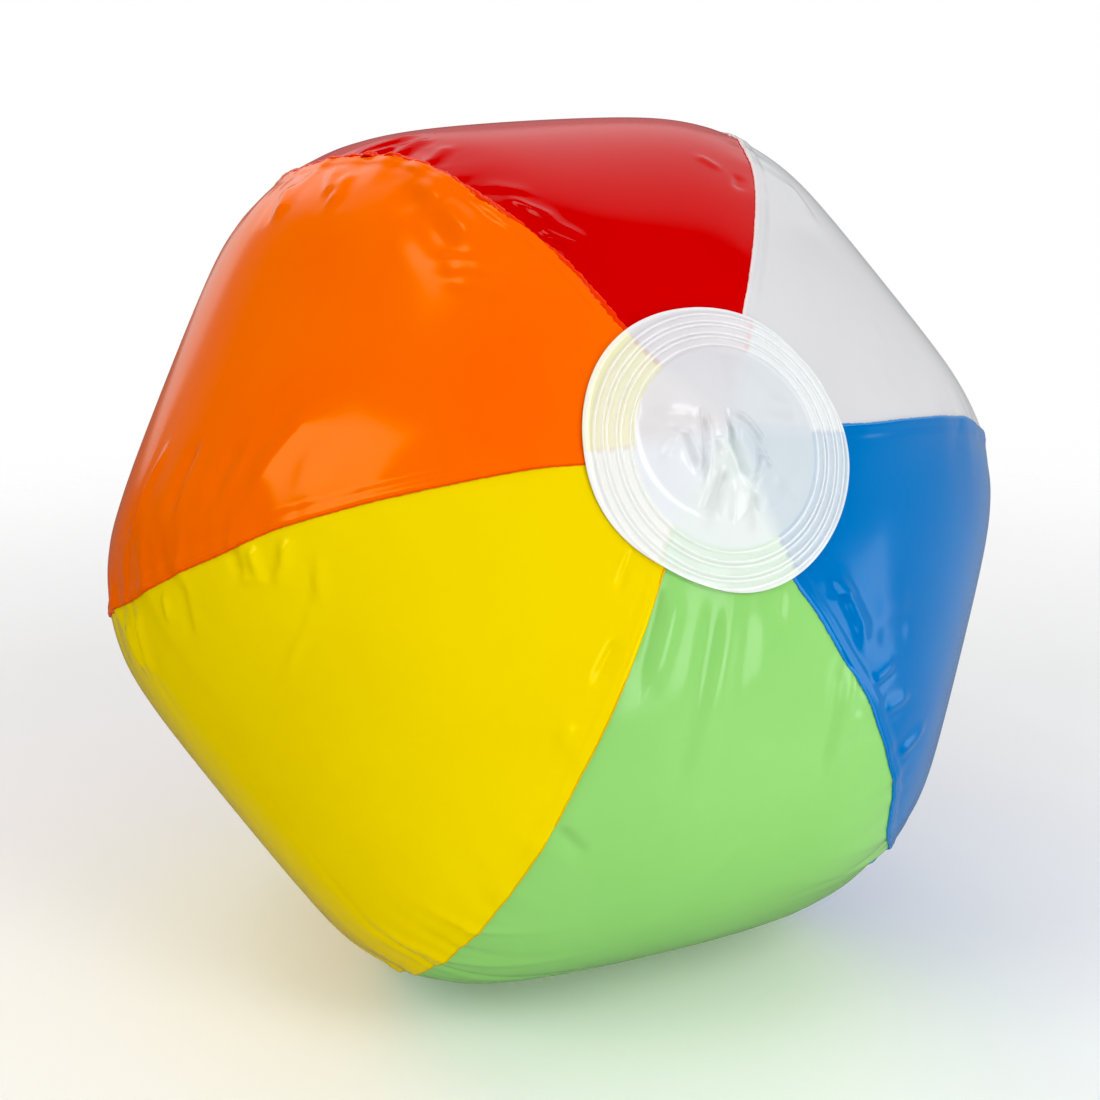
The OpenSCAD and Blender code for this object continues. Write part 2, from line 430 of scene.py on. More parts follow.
def fold(x, y, pts, height, width, step=0.0):
    """A crease along pts, fading at its ends: a ridge (a valley if height is below 0) and a step across it."""
    d, f, side = along(x, y, pts)
    fade = smooth(f, 0, 0.25) * (1 - smooth(f, 0.7, 1)) * 0.85 + 0.15
    fade = fade * np.exp(-(np.where((f <= 0) | (f >= 1), d, 0) / width) ** 2)
    q = d / width
    return fade * (height * np.exp(-q * q) + step * side * q * np.exp(-0.5 * q * q))


# Creases in the film, by gore: (line of (mm from the pole, mm across), height, width, step). The places came
# out of the same scratch program as WANDER's, with some points moved or added by hand. The heights, widths and
# steps were chosen one by one.
FOLDS = {
    2: [(((66, -17.0), (55, -18.4), (47, -20.2)), 0.28, 1.5, 0),
        (((64, -14.9), (55, -16.3), (46, -16.0)), 0.26, 1.3, 0),
        (((61, -12.4), (53, -13.2), (45, -13.0)), 0.22, 1.4, 0),
        (((80, -38), (69, -28), (58, -18.5)), 0.0, 3.2, 0.55),
        (((86, -41), (72, -29)), 0.0, 2.6, 0.4),
        (((69, -34), (57, -25)), 0.0, 2.2, -0.35),
        (((103, -44), (98, -34)), 0.5, 1.6, 0.2),
        (((97, -41), (96, -30)), 0.4, 1.5, 0.2),
        (((115, -43), (111, -32)), 0.5, 1.8, 0.2),
        (((107, 22), (112, 39)), -0.45, 1.6, 0.3),
        (((78, 16), (86, 28), (90, 37)), 0.25, 2.4, 0.4),
        (((93, 24), (99, 37)), -0.35, 1.8, 0.2),
        (((120, 20), (127, 34), (131, 43)), 0.4, 1.5, 0.3)],
    1: [(((62, 27.5), (57, 24), (52, 19)), 0.38, 1.1, 0.15),
        (((58, 25.5), (50, 19.5), (45, 14.5)), 0.35, 1.0, 0.2),
        (((54, 27), (47, 22.5), (42, 19)), -0.35, 1.2, 0.2),
        (((50, 25), (44, 16)), 0.25, 1.1, 0),
        (((67, 31), (61, 22)), 0.2, 1.4, 0.2),
        (((98, 45), (93, 38)), 0.6, 1.6, 0.3),
        (((89, 43), (94, 31)), 0.45, 1.5, 0.3),
        (((102, 46), (99, 36), (101, 30)), 0.5, 1.5, 0.2),
        (((80, 39), (86, 30)), 0.3, 1.5, 0.2),
        (((74, -22), (68, -25)), 0.25, 1.2, 0),
        (((61, -26), (67, -29)), -0.3, 1.3, 0.1)],
    3: [(((92, -43), (93.5, -37)), -0.5, 1.2, 0.3),
        (((89, -40.5), (90, -34)), 0.5, 1.0, 0.2),
        (((81, -37), (84, -33), (88.5, -31)), 0.5, 1.2, 0.3),
        (((94, -37.5), (88, -31.5)), 0.35, 1.1, 0),
        (((76, -31), (81, -25), (87, -21), (100, -16.5)), 0.3, 1.2, 0.25),
        (((79, -28), (84.5, -21), (97, -14.5)), -0.25, 1.3, 0.1),
        (((129, -48), (133, -41), (138, -34)), 0.6, 1.3, 0.45),
        (((138, -47.5), (140, -35)), 0.5, 1.6, 0.3),
        (((116, -46), (118, -40)), 0.45, 1.2, 0.2),
        (((109, -45), (114, -34)), -0.4, 1.4, 0.2),
        (((27, 8), (36, 13)), -0.32, 1.0, 0.1),
        (((26, 5.5), (33, 9)), 0.22, 0.9, 0.1),
        (((40, 19.5), (50, 23.5)), -0.4, 1.3, 0.1),
        (((58, 25), (63, 28)), 0.3, 1.5, 0.1)],
    4: [(((29, -1), (50, -6.7), (72, -13)), 0.0, 1.9, 0.7),
        (((28, -12.8), (38, -16.6), (48, -20.4)), 0.0, 1.8, 0.65),
        (((46, 26), (57, 23), (75, 19.5)), 0.0, 1.7, 0.75),
        (((30, 12), (38, 9)), -0.22, 1.3, 0),
        (((60, 27), (66, 25)), 0.25, 1.3, 0.1),
        (((34, 4.5), (52, 1.5)), 0.0, 2.4, 0.22),
        (((76, -37), (84, -30)), -0.45, 1.6, 0.2),
        (((86, 3), (95, -1)), 0.15, 1.8, 0.1)],
    5: [(((33, -12.5), (39.6, -15.8), (45.5, -19.5), (50, -24)), 0.5, 1.5, 0.3),
        (((56, -29.5), (60, -23)), 0.4, 1.2, 0.2),
        (((36, -18), (41, -14)), 0.3, 1.0, 0.1),
        (((64, -33), (70, -26)), 0.35, 1.4, 0.2),
        (((50, -18), (60, -12)), 0.0, 3.0, 0.3),
        (((78, -38), (83, -28)), 0.4, 1.5, 0.2)],
    0: [(((45, -14), (60, -8)), 0.0, 3.2, 0.22),
        (((70, 20), (78, 30)), 0.25, 1.6, 0.15)],
}


def puckers():
    """Small gathers across each seam, strongest where the ball is widest.

    Each is (place along the seam, height, width, reach, slant).
    """
    rng = np.random.default_rng(11)
    out = []
    for k in range(GORES):
        rows, at = [], 62.0
        while at < FLAT_L - 62:
            wide = math.exp(-((at - FLAT_L / 2) / 52) ** 2)
            sign = -1 if len(rows) % 2 else 1
            rows.append((at, sign * (0.08 + 0.42 * wide) * rng.uniform(0.35, 1.5), rng.uniform(1.2, 2.8),
                         3.5 + 9.0 * wide * rng.uniform(0.4, 1.8), rng.uniform(-0.5, 0.5)))
            at += rng.uniform(4.5, 13.0)
        out.append(rows)
    return out


PUCKERS = puckers()


def relief(g, s, left, right, across):
    """Outward height, in mm, of gore g's puckers and folds. left and right are mm inside its two seams."""
    h = np.zeros(np.broadcast(s, left).shape)
    for k, d in ((g, left), ((g + 1) % GORES, -right)):
        for at, high, wide, reach, slant in PUCKERS[k]:
            q = (s - at - slant * d) / wide
            h = h + high * np.exp(-q * q) * np.exp(-(np.abs(d) / reach) ** 1.3)
    for line, high, wide, step in FOLDS.get(g, ()):
        h = h + fold(s, across, line, FOLD_GAIN * high, wide, FOLD_GAIN * step)
    return h


def tip_s(t):
    """Distance from the pole, along the gore, at which the cut circle crosses the line t."""
    return RS * np.arcsin(np.clip(TIP_R * np.cos(np.arctan(np.clip(np.abs(t), 0, 1) * TAN30)) / RA, 0, 1))


def wobble(s, seed, amount, waves):
    """A smooth ragged line made of a few sines, the same on every run."""
    rng = np.random.default_rng(seed)
    out = np.zeros_like(s)
    for w in waves:
        out += rng.uniform(0.5, 1) * np.sin(2 * math.pi * (s / w + rng.uniform(0, 1)))
    return amount * out / len(waves)


def past_discs(h, s, lo, hi):
    """h, faded to nothing from hi to lo mm from either pole."""
    return h * smooth(s, lo, hi) * smooth(FLAT_L - s, lo, hi)


def lap_edge(g, side, s):
    """How far gore g's lap reaches on its left (-1) or right (1), as a share of LAP."""
    amount = 0.35 if (g, side) == (2, -1) else 0.12     # orange over red is the most ragged
    return 1 + wobble(s, (10 if side < 0 else 20) + g, amount, JAG) / LAP


def panel(g):
    """Gore g: a closed shell with its laps, creases and cut tips."""
    name = ORDER[g]
    nv = 330
    nt_ = 96
    left_up = UPPER[g] == g
    right_up = UPPER[(g + 1) % GORES] == g
    v = np.linspace(0, 1, nv + 1)[:, None]
    u = -np.cos(np.linspace(0, math.pi, nt_ + 1)) * 0.35 + np.linspace(-1, 1, nt_ + 1) * 0.65
    # how far past the seam line each of a lap's columns lies, in mm
    laps = np.array([0.35, 0.7, 1.05, 1.3, 1.45, 1.5]) / 1.5 * LAP
    s_mid = tip_s(0) + v * (FLAT_L - 2 * tip_s(0))
    half = rho(s_mid) * TAN30
    cols = []
    if left_up:
        f = lap_edge(g, -1, s_mid)
        for d in laps[::-1]:
            cols.append(-1 - d * f / half)
    for x in u:
        cols.append(np.full_like(half, x))
    if right_up:
        f = lap_edge(g, 1, s_mid)
        for d in laps:
            cols.append(1 + d * f / half)
    T = np.concatenate(cols, 1)
    s0 = tip_s(T)
    Sg = s0 + v * (FLAT_L - 2 * s0)
    P = skin(g, Sg, T)
    inside_l = (T + 1) * half      # mm inside the left seam line, negative past it
    inside_r = (1 - T) * half
    nrm = grid_normals(P)
    for _ in range(2):
        nrm[:, 1:-1] = (nrm[:, :-2] + 2 * nrm[:, 1:-1] + nrm[:, 2:]) / 4
    nrm /= np.linalg.norm(nrm, axis=2, keepdims=True)
    rub = past_discs(relief(g, Sg, inside_l, inside_r, T * half), Sg, 24, 34)
    free = 0.4 + past_discs(0.6, Sg, 27, 32)        # a lap lies flatter under a disc
    lift = np.zeros(T.shape)
    for up, d in ((left_up, inside_l), (right_up, inside_r)):
        if up:
            weld = 0.16 * np.exp(-((d + LAP * 0.62) / 0.42) ** 2)
            lift = np.maximum(lift, LIFT * smooth(-d, -2.2, -0.2) + weld)
    P = P + nrm * (lift * free + rub)[..., None]
    top = to_floor(to_row(P))
    under = to_row(P - nrm * FILM_T)
    under[..., 2] = np.maximum(under[..., 2], top[..., 2] - FILM_T)
    # where the film lies on the floor, its inner face is straight above its outer one
    down = (nrm @ BASIS[:, 2] < 0)[..., None]
    under = np.where((top[..., 2:] < 1.5), top + np.array([0, 0, FILM_T]) * down, under)
    ob = finish_mesh("gore_" + name, *shell(top, under), FILMS[name])
    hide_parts("panel_" + name)
    return ob


for g in range(GORES):
    gore = panel(g)

# The bead of film squeezed out along each lap's free edge: name, colour, deeper colour, width, height and
# raggedness. The blue beads and the white one are lighter than their film: painted highlight on the raised
# edge.
BEADS = [
    ("bead_blue_white_painted_highlight", (70, 150, 218), (50, 132, 204), 0.8, 0.30, 0.15),
    ("bead_white_red_painted_highlight", (238, 232, 232), (232, 205, 203), 0.8, 0.28, 0.2),
    ("bead_orange_red", (246, 66, 2), (232, 36, 0), 1.6, 0.5, 0.5),
    ("bead_orange_yellow", (252, 92, 0), (240, 78, 0), 0.6, 0.26, 0.2),
    ("bead_yellow_green", (232, 186, 0), (222, 172, 0), 0.8, 0.34, 0.2),
    ("bead_blue_green_painted_highlight", (56, 146, 222), (34, 124, 204), 0.9, 0.3, 0.3),
]


def bead(k):
    """The bead along seam k: a thin half-round strip that follows the upper gore's free edge."""
    name, colour, deep, wide, high, rag = BEADS[k]
    g = UPPER[k]
    sign = -1 if g == k else 1          # the upper gore's edge is its left one or its right one
    rows, around = ((620, 10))
    s = np.linspace(tip_s(1) + 0.5, FLAT_L - tip_s(1) - 0.5, rows)
    half = rho(s) * TAN30
    edge_mm = LAP * lap_edge(g, sign, s) - 0.1

    def at(mm):
        return skin(g, s, sign * (1 + mm / half))

    mid, inner_, outer_ = at(edge_mm), at(edge_mm - 1.2), at(edge_mm + 1.2)
    side = outer_ - inner_
    side /= np.linalg.norm(side, axis=1, keepdims=True)
    run = np.gradient(mid, axis=0)
    up = np.cross(side, run) * (1 if (np.cross(side, run) * mid).sum() > 0 else -1)
    up /= np.linalg.norm(up, axis=1, keepdims=True)
    other = (g - 1 if sign < 0 else g + 1) % GORES
    t_other = -sign * (1 - edge_mm / half)
    left, right = (1 + t_other) * half, (1 - t_other) * half
    rub = past_discs(relief(other, s, left, right, t_other * half), s, 24, 34)
    free = 0.4 + past_discs(0.6, s, 27, 32)
    w = wide * (1 + rag * wobble(s, 40 + k, 1, (11, 4.3, 2.3, 1.3)))
    # the blue bead's light colour is painted highlight, so it is broad where that highlight runs, near the
    # pole
    if k == 5:          # blue over green: broad up to 50 mm from the pole, and thin from 78 mm on
        w = w * (0.45 + 0.75 * smooth(-s, -78, -50))
    hgt = high * (1 + 0.6 * rag * wobble(s, 60 + k, 1, (13, 5.1, 2.1)))
    w = np.maximum(w, 0.3) * smooth(s, s[0] - 1, s[0] + 3) * smooth(-s, -s[-1] - 1, -s[-1] + 3)
    hgt = np.maximum(hgt, 0.1) * free
    a = np.linspace(0, 2 * math.pi, around, endpoint=False)
    sideways = np.cos(a)[None] * w[:, None] / 2
    upwards = np.where(np.sin(a) > 0, np.sin(a)[None] * (hgt[:, None] + 0.1), np.sin(a)[None] * 0.12)
    middle = (mid + up * (rub + 0.12 * free)[:, None])[:, None]
    P = middle + side[:, None] * sideways[..., None] + up[:, None] * upwards[..., None]
    V_ = to_floor(to_row(P.reshape(-1, 3)))
    idx = np.arange(rows * around).reshape(rows, around)
    idx = np.concatenate([idx, idx[:, :1]], 1)
    q = np.stack([idx[:-1, :-1], idx[:-1, 1:], idx[1:, 1:], idx[1:, :-1]], -1).reshape(-1, 4)
    if sign < 0:
        q = q[:, ::-1]
    F_ = q.tolist() + [idx[0, :-1].tolist(), idx[-1, :-1].tolist()[::-1]]
    ob = finish_mesh(name, V_, F_, film("film_" + name, colour, deep, 0.2))
    return ob


for k in range(GORES):
    bead(k)

# ---------------------------------------------------------------- pole discs
DISC_R = 28.0
DISC_T = 0.28
POLE_FLAT = 93.3954     # height of the CAD's pole flat above the ball's middle
RINGS = ((20.6, 0.7), (23.15, 0.7), (25.55, 0.6))
# colours seen through the milky film, gore by gore, in the ring zone and further in: tuned to the photo's
SEEN_RING = [(234, 239, 242), (229, 225, 230), (245, 241, 200),
             (247, 248, 242), (225, 243, 226), (197, 215, 229)]
SEEN_IN = [(226, 231, 235), (226, 226, 230), (234, 231, 233),
           (239, 243, 247), (238, 245, 243), (214, 225, 232)]


def polar(pole, r, az):
    """Point of the inflated surface at arc radius r and azimuth az (degrees), round either pole."""
    r, az = np.broadcast_arrays(np.asarray(r, float), np.asarray(az, float) % 360)
    out = np.zeros(r.shape + (3,))
    for g in range(GORES):
        pick = (az >= 60 * g) & (az <= 60 * g + 60) if g == 5 else (az >= 60 * g) & (az < 60 * g + 60)
        if not pick.any():
            continue
        phi = np.radians(az[pick] - 60 * g - 30)
        s = RS * np.arcsin(r[pick] * np.cos(phi) / RA)
        t = np.tan(phi) / TAN30
        out[pick] = surface(g, s if pole > 0 else FLAT_L - s, t)
    return out


def milky(name):
    """Cloudy soft film in the colours of the mesh's seen_through_with_painted_light attribute, which disc() paints."""
    m, nt, b = nodes_of(name)
    N, K = nt.nodes, nt.links
    at = N.new("ShaderNodeAttribute")
    at.attribute_name = "seen_through_with_painted_light"
    co_ = N.new("ShaderNodeTexCoord")
    cloud = N.new("ShaderNodeTexNoise")
    cloud.inputs["Scale"].default_value = 90
    cloud.inputs["Detail"].default_value = 5
    mr = N.new("ShaderNodeMapRange")
    mr.inputs["To Min"].default_value, mr.inputs["To Max"].default_value = 0.97, 1.02
    mix = N.new("ShaderNodeVectorMath")
    mix.operation = "SCALE"
    K.new(co_.outputs["Object"], cloud.inputs["Vector"])
    K.new(cloud.outputs["Fac"], mr.inputs["Value"])
    K.new(at.outputs["Color"], mix.inputs[0])
    K.new(mr.outputs["Result"], mix.inputs["Scale"])
    K.new(mix.outputs["Vector"], b.inputs["Base Color"])
    peel = N.new("ShaderNodeTexNoise")
    peel.inputs["Scale"].default_value = 600
    bp = N.new("ShaderNodeBump")
    bp.inputs["Strength"].default_value = 0.2
    bp.inputs["Distance"].default_value = 0.00003
    K.new(co_.outputs["Object"], peel.inputs["Vector"])
    K.new(peel.outputs["Fac"], bp.inputs["Height"])
    K.new(bp.outputs["Normal"], b.inputs["Normal"])
    b.inputs["Roughness"].default_value = 0.13
    b.inputs["Specular IOR Level"].default_value = 0.4
    b.inputs["IOR"].default_value = 1.5
    return m


MILKY = milky("film_milky")


CRUMPLE_GAIN = 2.1      # on the heights and steps in CRUMPLE
CRUMPLE_WIDE = 0.7      # on its widths
# The plain disc's crumpled middle: lines in mm on the disc, height, width, step. The places have the same
# source as those in FOLDS.
CRUMPLE = [
    (((-4.0, 4.6), (-4.4, -2), (-6.3, -10.4)), 0.5, 0.8, 0.7),
    (((-9.6, 1.2), (-8.2, -0.4), (-6.6, -7.4)), 0.55, 0.9, 0.5),
    (((-8.8, 0.8), (-11.5, -1.2), (-13.6, -4.2)), 0.25, 1.3, 0.2),
    (((0.6, 3.2), (0.2, -2.5), (1.6, -8.0), (4.2, -11.0)), -0.55, 0.9, -0.5),
    (((1.8, 3.4), (4.6, 0.8), (7.6, -3.9)), 0.6, 0.9, 0.4),
    (((7.0, -3.4), (6.2, -7.0), (4.2, -11.0)), 0.4, 0.8, 0.3),
    (((6.2, -5.2), (8.6, -8.2)), 0.35, 0.8, 0.1),
    (((-2.2, -1.2), (-1.6, -4.6)), 0.4, 1.0, 0.1),
    (((-1.2, -6.5), (-4.4, -12.8), (-6.2, -18.2)), -0.6, 1.9, 0.1),
    (((4.4, -11.6), (4.0, -15.5), (3.2, -20.4)), -0.35, 1.5, 0.4),
    (((0.2, -9.5), (-0.8, -19.0)), 0.3, 1.6, 0),
    (((9.0, 4.2), (19.0, 3.4)), 0.0, 1.6, 0.18),
    (((-5.0, 2.0), (-17.0, 4.6)), 0.0, 1.6, 0.16),
    (((9.5, -9.0), (15.5, -15.0)), 0.0, 1.6, 0.18),
    (((2.0, 6.0), (3.4, 18.0)), 0.0, 1.8, 0.14),
]
# the seams as they show through the welds, by the seam at azimuth 60 k
DASH = [(188, 202, 218), (236, 196, 192), (226, 184, 172), (238, 222, 206), (226, 232, 206), (186, 198, 218)]


def disc(name, pole, inner, node, centre=(0, 0), ring_shift=(0, 0)):
    """A milky disc over one pole, from the radius inner outwards, with three ring welds."""
    na = 540
    zone = 0.11
    middle = np.arange(inner, 18.6, 0.4)
    radii = np.concatenate([middle, np.arange(18.6, DISC_R, zone), [DISC_R]])
    az = np.linspace(0, 360, na, endpoint=False)
    Rr, Az = np.meshgrid(radii, az, indexing="ij")
    A_ = np.radians(Az)
    if pole > 0:        # not quite round: it reaches further on the left, and a little further on the right
        edge = -0.7 + 1.2 * np.cos(2 * (A_ - math.radians(112))) + 0.25 * np.cos(5 * A_ + 1)
        edge = edge + 2.3 * np.exp(-((A_ - math.radians(187)) / 0.84) ** 2)
        edge = edge + 0.6 * np.exp(-((np.sin(A_ / 2)) / 0.3) ** 2)
    else:
        edge = 0.25 * np.cos(3 * A_ + 1)
    full = Rr + edge * (Rr / DISC_R) ** 8
    X, Y = full * np.cos(A_) + centre[0], full * np.sin(A_) + centre[1]
    base = polar(pole, np.maximum(np.hypot(X, Y), 0.01), np.degrees(np.arctan2(Y, X)))
    # the disc is stiffer than the gores, so it lies over their small lumps, and never below them
    level = base[..., 2] * pole
    cover = level
    if pole < 0:        # it is welded to the top of the valve's flange
        cover = np.maximum(cover, POLE_FLAT - 0.42 * np.maximum(Rr - 12.7, 0))
    turn = 4
    for step in range(1, turn + 1):
        cover = np.maximum(cover, np.maximum(np.roll(level, step, 1), np.roll(level, -step, 1)))
    cover = sum(np.roll(cover, step, 1) for step in range(-turn, turn + 1)) / (2 * turn + 1)
    base[..., 0], base[..., 1], base[..., 2] = X, Y, pole * cover
    nrm = np.broadcast_to(np.array([0, 0, float(pole)]), base.shape)
    dx, dy = X - centre[0] - ring_shift[0], Y - centre[1] - ring_shift[1]
    q = np.hypot(dx, dy / (1.03 if pole > 0 else 1))
    h = 0.35 + 0.45 * smooth(q, 18.9, 19.7)
    groove, ridge, shadow_line = np.zeros(q.shape), np.zeros(q.shape), np.zeros(q.shape)
    for r0, w in RINGS:
        d = q - r0
        g_ = smooth(d, -w, -w + 0.3) - smooth(d, w - 0.3, w)
        groove = np.maximum(groove, g_)
        h = h - 0.3 * g_
        both_sides = np.exp(-((d + w + 0.12) / 0.24) ** 2) + np.exp(-((d - w - 0.12) / 0.24) ** 2)
        h = h + 0.32 * both_sides
        ridge = np.maximum(ridge, both_sides)
        # a thin painted shadow line just outside each weld's outer ridge; the shape has no hollow there
        shadow_line = np.maximum(shadow_line, np.exp(-((d - w - 0.62) / 0.22) ** 2))
    h = h + 0.06 * wobble(Az + 2 * q, 8 + pole, 1, (90, 51, 33)) * smooth(q, 17, 20)
    h = h + 0.14 * np.exp(-((Rr - DISC_R + 0.45) / 0.4) ** 2)
    crumple = np.zeros(q.shape)
    if pole > 0:
        for line, high, wide, step in CRUMPLE:
            crumple = crumple + fold(X, Y, line, CRUMPLE_GAIN * high, CRUMPLE_WIDE * wide,
                                     CRUMPLE_GAIN * step)
        crumple = crumple + 1.1 * np.exp(-(((X - 3.0) / 2.6) ** 2 + ((Y + 4.0) / 5.2) ** 2) ** 2)
        h = h + 0.8 * (1 - smooth(np.hypot(X, Y), 11, 18)) + crumple
        h = np.maximum(h, 0.12 + 0.5 * smooth(np.hypot(X, Y), 15.2, 17.6))      # clear of the gores' tips
    P = base + nrm * h[..., None]
    if inner < 0.1:
        P[0] = P[0].mean(0)
    top, under = to_row(P), to_row(P - nrm * DISC_T)
    V_, F_ = shell(top, under, wrap=True)
    if inner < 0.1:
        # the innermost ring is a single point, so it has no rim
        cells = 2 * (len(radii) - 1) * na
        F_ = F_[:cells] + F_[cells + na:]
    ob = finish_mesh(name, V_, F_, MILKY)
    # what shows through: each gore's colour, whiter inside the circle where the gores' tips end
    col = np.zeros((len(radii), na, 4))
    col[..., 3] = 1
    mixr = smooth(q, 18.7, 19.3)[..., None]
    far = np.hypot(X, Y)
    true_az = np.degrees(np.arctan2(Y, X)) % 360
    seam_mm = np.full(far.shape, 99.0)
    weight = np.zeros(far.shape + (GORES,))
    for g in range(GORES):
        lo, hi = 60 * g, 60 * g + 60
        if pole > 0:
            lo, hi = lo + wander(g, np.maximum(far, 14)), hi + wander(g + 1, np.maximum(far, 14))
        mid, halfw = (lo + hi) / 2, (hi - lo) / 2
        dd = np.abs((true_az - mid + 180) % 360 - 180)
        inside = np.radians(halfw - dd) * far
        weight[..., g] = 0.5 + 0.5 * np.clip(inside / (0.12 + 1.8 * (1 - mixr[..., 0])), -1, 1)
    weight /= weight.sum(-1, keepdims=True)
    for g in range(GORES):
        c_ring, c_in = np.array(srgb(*SEEN_RING[g])[:3]), np.array(srgb(*SEEN_IN[g])[:3])
        col[..., :3] += weight[..., g:g + 1] * (c_ring * mixr + c_in * (1 - mixr))
    for k in range(GORES):
        place = 60 * k + (wander(k, np.maximum(far, 14)) if pole > 0 else 0)
        off = np.radians((true_az - place + 180) % 360 - 180) * far
        f = np.clip(1 - np.abs(off) / 0.7, 0, 1) ** 0.5 * (0.15 + 0.85 * groove) * mixr[..., 0] * 0.8
        col[..., :3] = col[..., :3] * (1 - f[..., None]) + np.array(srgb(*DASH[k])[:3]) * f[..., None]
    # the welds are whiter than the rest, partly because more of the film is pressed up into their two ridges
    # and partly as a painted highlight along those ridges and along the disc's edge
    rim = np.exp(-((Rr - DISC_R + 0.3) / 0.35) ** 2)
    white = np.clip(groove * 0.2 + ridge * 0.75 + 0.6 * rim, 0, 1)[..., None]
    # painted shade: darker along that shadow line beside each weld and in the crumples' valleys
    painted_shade = 0.09 * shadow_line + 0.1 * np.clip(-crumple, 0, 1)
    col[..., :3] = np.clip(col[..., :3] * (1 - painted_shade[..., None]), 0, 1)
    col[..., :3] = np.clip(0.93 * col[..., :3] * (1 - white) + 0.97 * white, 0, 1)
    both = np.concatenate([col.reshape(-1, 4)] * 2)
    # these colours hold the painted shade and painted highlights as well as what shows through the film
    att = ob.data.color_attributes.new("seen_through_with_painted_light", "FLOAT_COLOR", "POINT")
    att.data.foreach_set("color", both.astype(np.float32).ravel())
    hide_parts(node)
    return ob


disc("disc_plain", 1, 0.0, "pole_disc_plain", centre=(1.2, -2.0), ring_shift=(-0.3, -0.7))
disc("disc_valve", -1, 9.95, "pole_disc_valve")

# ---------------------------------------------------------------- valve
VALVE = film("valve_moulding", (236, 240, 242), (226, 231, 234), 0.3, 0.2)
for n in ("valve_stem", "plug_strap", "check_flap"):
    o = frame["nodes"][n]
    o.data.materials.clear()
    o.data.materials.append(VALVE)


def at_valve(P):
    """From the valve's own axes, with Z outwards from the pole's flat, to the row's frame."""
    return to_row(np.asarray(P, float) * [1, -1, -1] - [0, 0, POLE_FLAT])


def rounded(corners, loop):
    """A profile of (radius, height, corner radius), its corners rounded and its flats kept flat."""
    out = []
    n = len(corners)
    for i, (r, z, c) in enumerate(corners):
        here = np.array([r, z])
        if not loop and i in (0, n - 1):
            out.append(here)
            continue
        to_a, to_b = np.array(corners[i - 1][:2]) - here, np.array(corners[(i + 1) % n][:2]) - here
        la, lb = np.linalg.norm(to_a), np.linalg.norm(to_b)
        c = min(c, 0.45 * la, 0.45 * lb)
        a, b = here + to_a / la * c, here + to_b / lb * c
        out.append(here + to_a / la * min(1.4 * c, 0.49 * la))
        out += [(1 - f) ** 2 * a + 2 * f * (1 - f) * here + f * f * b for f in np.linspace(0, 1, 5)]
        out.append(here + to_b / lb * min(1.4 * c, 0.49 * lb))
    return np.array(out)


def lathe(name, profile, loop, body, replaces, outline=None, ripple=None):
    """A moulded part turned about the valve's axis. A profile that isn't a loop starts and ends on it."""
    na = 128
    a = np.linspace(0, 2 * math.pi, na, endpoint=False)
    ring = profile if loop else profile[1:-1]
    R_, Z_ = np.repeat(ring[:, :1], na, 1), np.repeat(ring[:, 1:], na, 1)
    A_ = np.broadcast_to(a, R_.shape)
    if outline:
        R_, Z_ = outline(R_, Z_, A_)
    if ripple:
        Z_ = Z_ + ripple(R_, Z_, A_)
    P = np.stack([R_ * np.cos(A_), R_ * np.sin(A_), Z_], -1)
    idx = np.arange(len(ring) * na).reshape(len(ring), na)
    idx = np.concatenate([idx, idx[:, :1]], 1)
    if loop:
        idx = np.concatenate([idx, idx[:1]], 0)
    F_ = np.stack([idx[:-1, :-1], idx[1:, :-1], idx[1:, 1:], idx[:-1, 1:]], -1).reshape(-1, 4).tolist()
    P = P.reshape(-1, 3)
    if not loop:
        n = len(P)
        P = np.concatenate([P, [[0, 0, profile[0, 1]], [0, 0, profile[-1, 1]]]])
        F_ += [[n, idx[0, j], idx[0, j + 1]] for j in range(na)]
        F_ += [[n + 1, idx[-1, j + 1], idx[-1, j]] for j in range(na)]
    ob = finish_mesh(name, at_valve(P), F_, VALVE, body)
    bm = bmesh.new()
    bm.from_mesh(ob.data)
    bmesh.ops.recalc_face_normals(bm, faces=bm.faces)
    bm.to_mesh(ob.data)
    bm.free()
    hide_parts(replaces)
    return ob


# the welded flange, whose rounded lip comes out through the disc's hole
LIP = [(8.5, -1.0, 0.2), (12.5, -1.0, 0.3), (12.5, 0.0, 0.1), (9.9, 0.0, 0.1), (9.85, 0.7, 0.28),
       (8.5, 0.7, 0.32)]
lathe("valve_lip", rounded(LIP, True), True, "root", "valve_flange")


# the thin web, which turns inside out as the stem is pulled
top_line = [(8.5 - 3.7 * f, -0.4 - 5.3 * (f + 0.16 * math.sin(2 * math.pi * f)))
            for f in np.linspace(0, 1, 24)]
web = np.array(top_line + [(r, z - 0.55) for r, z in top_line[::-1]])
membrane = lathe("valve_membrane", web, True, None, "valve_web",
                 ripple=lambda R_, Z_, A_: 0.05 * np.sin(9 * A_) * np.exp(-((R_ - 6.6) / 1.1) ** 2))
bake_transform(membrane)


def with_tab(R_, Z_, A_):
    """The cap's outer part, drawn out into a rounded tab towards +Y of the valve."""
    up = np.maximum(np.sin(A_), 1e-6)
    tab = ((np.abs(np.cos(A_)) / 2.0) ** 5 + (up / 7.4) ** 5) ** -0.2 * (np.sin(A_) > 0)
    rim = (5.4 ** 14 + np.minimum(tab, 7.4) ** 14) ** (1 / 14)
    out = np.clip((R_ - 4.3) / 1.1, 0, None)
    R2 = np.where(R_ > 4.3, 4.3 + out * (rim - 4.3), R_)
    thin = np.clip((R2 - 5.4) / 1.2, 0, 1)
    mid = 1.0
    Z2 = np.where(R_ > 4.3, mid + (Z_ - mid) * (1 - 0.2 * thin), Z_)
    return R2, Z2


